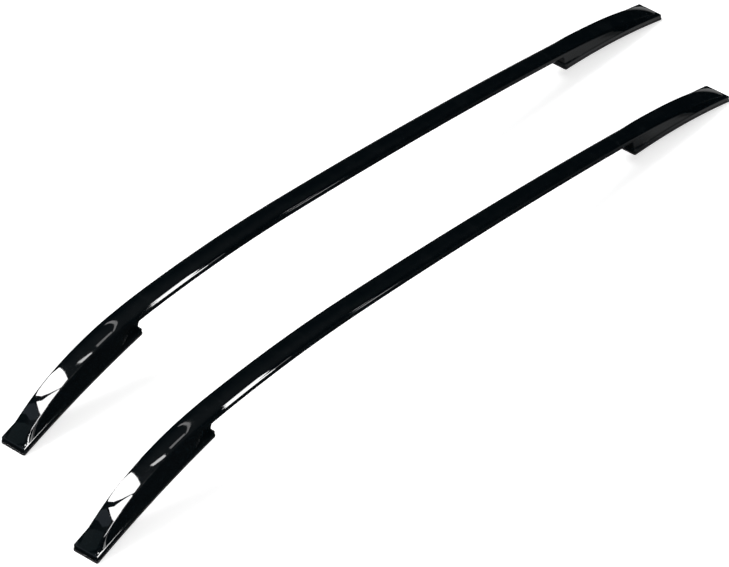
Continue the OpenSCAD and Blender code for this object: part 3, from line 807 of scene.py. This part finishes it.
class Dust(Effect):
    """Fine dust that settles on surfaces that face up, with a few larger specks."""

    name = "Settled dust"
    settings = ("Amount",)
    gives = ("Mask",)

    def wire(self, wires: Wires, vector: Socket, amount: Socket) -> Feeds:
        normal = wires.read("NewGeometry", "Normal")
        facing = wires.ramp(wires.read("SeparateXYZ", "Z", {0: normal}), 0.2, 0.95)
        film = wires.noise(vector, scale=34.0, detail=5.0, roughness=0.7)
        film = wires.ramp(film, 0.42, 0.72, 0.0, 0.45)
        feeds = {"Vector": vector, "Scale": 420.0}
        cells = wires.node("TexVoronoi", feeds).outputs
        near = wires.ramp(cells["Distance"], 0.1, 0.02)
        chance = wires.read("SeparateColor", 0, {0: cells["Color"]})
        specks = wires.math("MULTIPLY", near, wires.math("GREATER_THAN", chance, 0.86))
        dust = wires.math("MULTIPLY", wires.math("MAXIMUM", film, specks), facing)
        return {"Mask": wires.math("MULTIPLY", dust, amount, clamp=True)}


class EdgeWear(Effect):
    """Where convex edges have been rubbed, broken up by noise."""

    name = "Edge wear"
    settings = ("Amount",)
    gives = ("Mask",)

    def wire(self, wires: Wires, vector: Socket, amount: Socket) -> Feeds:
        edge = wires.ramp(wires.read("NewGeometry", "Pointiness"), 0.53, 0.62)
        broken = wires.noise(vector, scale=120.0, detail=6.0, roughness=0.7)
        wear = wires.math("MULTIPLY", edge, wires.ramp(broken, 0.4, 0.65))
        return {"Mask": wires.math("MULTIPLY", wear, amount, clamp=True)}


class Grain(Effect):
    """Grain of a blasted casting or a moulded skin, as a height and a mask of its pits."""

    name = "Grain"
    settings = ("Scale",)
    gives = ("Height", "Mask")

    def wire(self, wires: Wires, vector: Socket, scale: Socket) -> Feeds:
        fine = wires.noise(vector, scale)
        feeds = {"Vector": vector, "Scale": scale}
        cells = wires.read("TexVoronoi", "Distance", feeds)
        height = wires.math("MULTIPLY_ADD", cells, 0.5, fine)
        return {"Height": height, "Mask": wires.ramp(fine, 0.42, 0.7)}


class Drawn(Effect):
    """Fine lines round a turned or drawn part, from 0 to 1."""

    name = "Drawn lines"

    def wire(self, wires: Wires, vector: Socket) -> Feeds:
        stretched = wires.mapped(vector, (40.0, 40.0, 2200.0))
        return {"Value": wires.ramp(wires.noise(stretched, scale=1.0), 0.3, 0.7)}


def rgb(*parts: float) -> Colour:
    """A colour with full alpha, from linear parts."""
    return (*parts, 1.0)


@dataclass(frozen=True)
class Finish:
    """A finish for one of the record's material slots."""

    slot: Slot
    colour: Colour

    def build(self) -> Material:
        """The material: one shader, fed with what paint gives."""
        material = bpy.data.materials.new(f"{self.slot.value}_finish")
        material.diffuse_color = self.colour
        wires = Wires.blank(material)
        vector = wires.read("TexCoord", "Object")
        shader = wires.read("BsdfPrincipled", 0, self.paint(wires, vector))
        wires.node("OutputMaterial", {"Surface": shader})
        return material

    def paint(self, wires: Wires, vector: Socket) -> Feeds:
        """The shader's inputs by name, each a value or an output to link from."""
        raise NotImplementedError


@dataclass(frozen=True)
class GlossBlack(Finish):
    """Deep black gloss: sprayed paint on the bar, polished moulding on the covers."""

    peel: float
    dust: float
    dusty: Colour = rgb(0.035, 0.038, 0.04)
    rubbed: Colour = rgb(0.02, 0.024, 0.027)
    sharp: float = 0.02
    dull: float = 0.06

    def paint(self, wires: Wires, vector: Socket) -> Feeds:
        smudge = Smudges().use(wires, vector, Scale=9.0)["Value"]
        dust = Dust().use(wires, vector, Amount=self.dust)["Mask"]
        wear = EdgeWear().use(wires, vector, Amount=0.5)["Mask"]
        peel = OrangePeel().use(wires, vector, Scale=self.peel)["Height"]
        colour = wires.blend(wear, self.colour, self.rubbed)
        rough = wires.between(smudge, self.sharp, self.dull)
        return {
            "Base Color": wires.blend(dust, colour, self.dusty),
            "Roughness": wires.math("MULTIPLY_ADD", wires.math("ADD", dust, wear), 0.25, rough),
            "IOR": 1.5,
            "Normal": wires.bump(peel, distance=0.00002, strength=0.35),
        }


@dataclass(frozen=True)
class CastMetal(Finish):
    """Sand-cast aluminium, lightly blasted."""

    pit_shade: float = 0.62

    def paint(self, wires: Wires, vector: Socket) -> Feeds:
        grain = Grain().use(wires, vector, Scale=700.0)
        smudge = Smudges().use(wires, vector, Scale=16.0)["Value"]
        dark = rgb(*(c * self.pit_shade for c in self.colour[:3]))
        pits = wires.math("MULTIPLY", grain["Mask"], 0.5)
        return {
            "Base Color": wires.blend(pits, self.colour, dark),
            "Roughness": wires.between(smudge, 0.42, 0.62),
            "Metallic": 1.0,
            "Normal": wires.bump(grain["Height"], distance=0.0003, strength=0.5),
        }


@dataclass(frozen=True)
class PadRubber(Finish):
    """Matt black moulded rubber, a little greyed where dust holds on."""

    pale: Colour = rgb(0.06, 0.06, 0.06)

    def paint(self, wires: Wires, vector: Socket) -> Feeds:
        grain = Grain().use(wires, vector, Scale=900.0)
        dust = Dust().use(wires, vector, Amount=0.5)["Mask"]
        share = wires.math("MAXIMUM", dust, wires.math("MULTIPLY", grain["Mask"], 0.25))
        return {
            "Base Color": wires.blend(share, self.colour, self.pale),
            "Roughness": wires.between(grain["Mask"], 0.62, 0.82),
            "Normal": wires.bump(grain["Height"], distance=0.0002, strength=0.4),
        }


@dataclass(frozen=True)
class PlatedSteel(Finish):
    """Zinc plated steel with a faint yellow cast, brighter where it is rubbed."""

    tarnish: Colour = rgb(0.6, 0.56, 0.4)
    bright: Colour = rgb(0.75, 0.75, 0.76)

    def paint(self, wires: Wires, vector: Socket) -> Feeds:
        lines = Drawn().use(wires, vector)["Value"]
        smudge = Smudges().use(wires, vector, Scale=60.0)["Value"]
        wear = EdgeWear().use(wires, vector, Amount=0.8)["Mask"]
        cast = wires.blend(smudge, self.colour, self.tarnish)
        return {
            "Base Color": wires.blend(wear, cast, self.bright),
            "Roughness": wires.between(lines, 0.22, 0.4),
            "Metallic": 1.0,
            "Normal": wires.bump(lines, distance=0.00005, strength=0.3),
        }


@dataclass(frozen=True)
class PegNylon(Finish):
    """Natural nylon with a soft sheen."""

    yellowed: Colour = rgb(0.66, 0.63, 0.52)

    def paint(self, wires: Wires, vector: Socket) -> Feeds:
        grain = Grain().use(wires, vector, Scale=500.0)
        smudge = Smudges().use(wires, vector, Scale=30.0)["Value"]
        share = wires.math("MULTIPLY", smudge, 0.5)
        return {
            "Base Color": wires.blend(share, self.colour, self.yellowed),
            "Roughness": wires.between(grain["Mask"], 0.4, 0.55),
            "Normal": wires.bump(grain["Height"], distance=0.0001, strength=0.25),
        }


FINISHES: tuple[Finish, ...] = (
    GlossBlack(Slot.BAR, rgb(0.0015, 0.003, 0.004), peel=240.0, dust=0.12),
    GlossBlack(Slot.COVER, rgb(0.0015, 0.003, 0.004), peel=180.0, dust=0.15),
    CastMetal(Slot.CAST, rgb(0.55, 0.56, 0.58)),
    PadRubber(Slot.PAD, rgb(0.02, 0.02, 0.02)),
    PlatedSteel(Slot.STEEL, rgb(0.62, 0.6, 0.55)),
    PegNylon(Slot.PEG, rgb(0.75, 0.75, 0.72)),
)


@dataclass(frozen=True)
class Card:
    """A bright panel that only mirror-like reflections see, like a studio's softbox.

    Its corners are directions from the focus, and lie at the distance, in metres. A strength
    of 1 is white.
    """

    name: str
    corners: tuple[Point, ...]
    strength: float
    focus: Point = (0.72, 0.0, 0.08)
    distance: float = 14.0
    tint: Colour = rgb(1.0, 1.0, 1.0)

    def outlines(self) -> list[Array]:
        """The corners of each panel, in metres."""
        rays = np.array(self.corners)
        rays = rays / np.linalg.norm(rays, axis=-1, keepdims=True)
        return [np.array(self.focus) + rays * self.distance]

    def surface(self) -> Material:
        """A light that mirror-like reflections alone see."""
        material = bpy.data.materials.new(self.name)
        wires = Wires.blank(material)
        ray = wires.read("LightPath", "Is Glossy Ray")
        feeds = {"Color": self.tint, "Strength": wires.math("MULTIPLY", ray, self.strength)}
        glow = wires.read("Emission", 0, feeds)
        wires.node("OutputMaterial", {"Surface": glow})
        return material

    def build(self) -> None:
        """The panels, each as one face, unseen by the camera and by rough surfaces."""
        material = self.surface()
        for corners in self.outlines():
            mesh = bpy.data.meshes.new(self.name)
            mesh.from_pydata(corners.tolist(), [], [tuple(range(len(corners)))])
            mesh.materials.append(material)
            panel = new_object(self.name, mesh)
            for kind in ("camera", "diffuse", "shadow", "transmission", "volume_scatter"):
                setattr(panel, f"visible_{kind}", False)


@dataclass(frozen=True)
class FootCard(Card):
    """A small panel close to each front foot, its corners in mm in the toe's own frame."""

    def outlines(self) -> list[Array]:
        """The corners of the panel at each rail, in metres."""
        return [PAIR.to_row(np.array(self.corners, float), side, End.FRONT) for side in Side]


@dataclass(frozen=True)
class Lamp:
    """A soft area lamp aimed at the origin, whose shape isn't mirrored in the gloss."""

    name: str
    at: Point
    watts: float
    size: float = 3.0

    def build(self) -> None:
        """The lamp in its place."""
        data = bpy.data.lights.new(self.name, "AREA")
        data.shape, data.size, data.energy = "DISK", self.size, self.watts
        lamp = new_object(self.name, data)
        lamp.location = self.at
        lamp.visible_glossy = False
        look_along(lamp, -Vector(self.at))


@dataclass(frozen=True)
class Floor:
    """A pale floor. It is white to the camera but for the object's shadow, and dark in gloss.

    In gloss it brightens past the first pair of places along X, and fades past the second.
    """

    reach: float = 40.0
    drop: float = 0.0004
    colour: Colour = rgb(0.8, 0.8, 0.8)
    lift: float = 0.55
    mirrored: float = 0.02
    mirrored_far: float = 0.42
    brighter: tuple[float, float] = (-0.5, -0.85)
    fading: tuple[float, float] = (-1.0, -1.6)
    faded: float = 0.4

    def paper(self) -> Material:
        """The material, which looks different to the camera, to gloss and to the rest."""
        material = bpy.data.materials.new("floor_paper")
        wires = Wires.blank(material)
        path = wires.node("LightPath").outputs
        paper = wires.read("BsdfDiffuse", 0, {"Color": self.colour})
        glow = wires.read("Emission", 0, {"Strength": self.lift})
        lit = wires.read("AddShader", 0, {0: paper, 1: glow})
        seen = wires.read("MixShader", 0, {0: path["Is Camera Ray"], 1: paper, 2: lit})
        spot = wires.read("NewGeometry", "Position")
        along = wires.read("SeparateXYZ", "X", {0: spot})
        level = wires.ramp(along, *self.brighter, self.mirrored, self.mirrored_far)
        level = wires.math("MULTIPLY", level, wires.ramp(along, *self.fading, 1.0, self.faded))
        dim = wires.read("Emission", 0, {"Strength": level})
        both = wires.read("MixShader", 0, {0: path["Is Glossy Ray"], 1: seen, 2: dim})
        wires.node("OutputMaterial", {"Surface": both})
        return material

    def build(self) -> None:
        """The floor under the toes."""
        r = self.reach
        mesh = bpy.data.meshes.new("floor")
        mesh.from_pydata([(-r, -r, 0), (r, -r, 0), (r, r, 0), (-r, r, 0)], [], [(0, 1, 2, 3)])
        mesh.materials.append(self.paper())
        floor = new_object("floor", mesh)
        floor.location = (0, 0, -self.drop)


@dataclass(frozen=True)
class Camera:
    """The camera that matches the photograph's framing."""

    pixels: float = 5500.0
    frame_width: float = 729.0
    sensor: float = 36.0
    at: Point = (6.135, 5.276, 6.227)
    heading: tuple[float, float] = (-0.75543, -0.65523)
    down: float = 37.757
    clip_end: float = 200.0

    def build(self) -> None:
        """The camera, looking along its heading and down by its pitch."""
        data = bpy.data.cameras.new("camera")
        data.sensor_width = self.sensor
        data.lens = self.pixels / self.frame_width * self.sensor
        data.clip_end = self.clip_end
        camera = new_object("camera", data)
        camera.location = self.at
        pitch = math.radians(self.down)
        x, y = self.heading
        aim = Vector((x * math.cos(pitch), y * math.cos(pitch), -math.sin(pitch)))
        look_along(camera, aim)
        bpy.context.scene.camera = camera


@dataclass(frozen=True)
class Studio:
    """Background, floor, lamps and panels."""

    backdrop: float = 1.0
    ambient: float = 0.55
    gloss: tuple[float, float] = (0.0, 0.12)
    rise: tuple[float, float] = (0.55, 1.0)

    def sky(self) -> None:
        """The world: pale to the camera and to rough surfaces, dim and graded to gloss."""
        world = bpy.data.worlds.new("studio")
        wires = Wires.blank(world)
        path = wires.node("LightPath").outputs
        direction = wires.read("TexCoord", "Generated")
        up = wires.read("SeparateXYZ", "Z", {0: direction})
        level = wires.ramp(up, *self.rise, *self.gloss)
        feeds = {"Factor": path["Is Glossy Ray"], "A": self.ambient, "B": level}
        level = wires.read("Mix", 0, feeds)
        feeds = {"Factor": path["Is Camera Ray"], "A": level, "B": self.backdrop}
        level = wires.read("Mix", 0, feeds)
        back = wires.read("Background", 0, {"Strength": level})
        wires.node("OutputWorld", {"Surface": back})
        bpy.context.scene.world = world

    def build(self) -> None:
        """Sets up the whole studio."""
        self.sky()
        Floor().build()
        for item in (*LAMPS, *CARDS):
            item.build()
        bpy.context.scene.view_settings.view_transform = "Standard"


LAMPS: tuple[Lamp, ...] = (
    Lamp("key", at=(1.5, -2.5, 5.0), watts=170.0),
    Lamp("fill", at=(2.5, 3.5, 4.0), watts=90.0),
)
BAR_FOCUS = (0.4, 0.0, 0.14)
CARDS: tuple[Card, ...] = (
    FootCard("foot softbox", strength=26.0, corners=(
        (145, 158, 233), (124, 95, 270), (106, 36, 284), (76, 30, 275), (46, 82, 249),
        (34, 122, 224), (40, 160, 199), (62, 172, 200), (118, 176, 214),
    )),
    FootCard("foot softbox, lower", strength=26.0, corners=(
        (66, 40, 267), (37, 77, 247), (17, 98, 230), (14, 128, 212), (-15, 78, 222),
        (-27, 51, 225), (-34, 0, 222), (62, 0, 268),
    )),
    FootCard("tip card", strength=0.42, tint=rgb(0.75, 0.85, 1.0), corners=(
        (12, 133, 201), (-16, 80, 219), (-29, 50, 222), (-48, 48, 211), (-54, 86, 194),
        (-28, 141, 179), (-18, 190, 152), (10, 190, 172),
    )),
    FootCard("tip card, dim", strength=0.16, tint=rgb(0.75, 0.95, 1.0), corners=(
        (-70, 50, 190), (-60, 110, 170), (-50, 165, 140), (-58, 210, 118), (-110, 190, 92),
        (-138, 90, 128), (-128, 45, 152),
    )),
    Card("crease strip", strength=26.0, corners=(
        (0.36, -0.2, 0.92), (0.36, 0.2, 0.91), (0.57, 0.16, 0.79), (0.6, -0.22, 0.76),
    )),
    Card("dash", strength=12.0, corners=(
        (-0.12, -0.13, 0.985), (-0.12, -0.25, 0.97), (-0.03, -0.4, 0.92), (-0.03, -0.29, 0.957),
    )),
    Card("dash, dim", strength=3.0, corners=(
        (-0.165, -0.19, 0.97), (-0.165, -0.29, 0.95), (-0.265, -0.23, 0.93),
        (-0.265, -0.14, 0.95),
    )),
    Card("dash, corner", strength=3.0, corners=(
        (-0.265, -0.14, 0.95), (-0.285, -0.14, 0.945), (-0.345, -0.7, 0.62), (-0.33, -0.7, 0.63),
    )),
    Card("bar strip", strength=24.0, focus=BAR_FOCUS, corners=(
        (-0.513, 0.85, -0.1), (-0.478, 0.79, 0.375), (-0.454, 0.5, 0.735), (-0.522, 0.44, 0.74),
        (-0.533, 0.76, 0.375), (-0.556, 0.82, -0.12),
    )),
    Card("bar strip, thin", strength=5.0, focus=BAR_FOCUS, corners=(
        (-0.543, 0.82, 0.12), (-0.539, 0.79, 0.24), (-0.57, 0.775, 0.22), (-0.57, 0.79, 0.14),
    )),
    Card("second bar strip", strength=14.0, focus=BAR_FOCUS, corners=(
        (-0.656, 0.53, 0.54), (-0.656, 0.59, 0.46), (-0.668, 0.65, 0.36), (-0.668, 0.6, 0.45),
    )),
    Card("second bar strip, low", strength=9.0, focus=BAR_FOCUS, corners=(
        (-0.638, 0.76, 0.02), (-0.636, 0.75, 0.14), (-0.655, 0.74, 0.12), (-0.657, 0.745, 0.02),
    )),
    Card("window behind", strength=3.0, corners=(
        (0.5, 0.85, 0.16), (0.5, 0.83, 0.32), (0.9, 0.35, 0.28), (0.9, 0.35, 0.13),
    )),
    Card("window on the right", strength=4.0, corners=(
        (0.15, 0.95, 0.25), (0.15, 0.85, 0.55), (-0.2, 0.85, 0.55), (-0.2, 0.95, 0.25),
    )),
)


def dress(finishes: dict[Slot, Material]) -> None:
    """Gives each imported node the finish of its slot."""
    for part in frame["record"]["subparts"]:
        node = frame["nodes"][part["node"]]
        node.data.materials.clear()
        node.data.materials.append(finishes[Slot(part["material_slot"])])


def main() -> None:
    """Builds the rails in order, dresses them and sets up the studio."""
    logging.basicConfig(level=logging.INFO, format="%(name)s: %(message)s")
    finishes = {finish.slot: finish.build() for finish in FINISHES}
    dress(finishes)
    bar = Bar()
    front = Cover(
        End.FRONT, bar, length=308, seam=342, tail=4, roof_slope=0.38, roof_bow=0.00028,
        toe_sink=1.5, toe_steep=1.06, toe_reach=0.17, seam_reach=0.5, hollow_start=10, flank=9,
    )
    rear = Cover(
        End.REAR, bar, length=293, seam=330, tail=1.5, roof_slope=0.22, roof_bow=0.00034,
        toe_sink=0.8, toe_steep=0.6, toe_reach=0.16, seam_reach=0.32, hollow_start=17, flank=6,
        end_width=50, end_round=3,
    )
    for side in Side:
        skin = bar.build(side)
        skin.data.materials.append(finishes[Slot.BAR])
        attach(skin, "root")
        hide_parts(f"{side.word}_rail_bar")
    for cover in (front, rear):
        shape = cover.shape()
        LOG.info("%s cover has %d points", cover.end.value, len(shape.points))
        for side in Side:
            piece = cover.build(shape, side)
            piece.data.materials.append(finishes[Slot.COVER])
            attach(piece, "root")
            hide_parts(f"{side.word}_{cover.end.value}_cover")
    Studio().build()
    Camera().build()


if __name__ == "__main__":
    main()
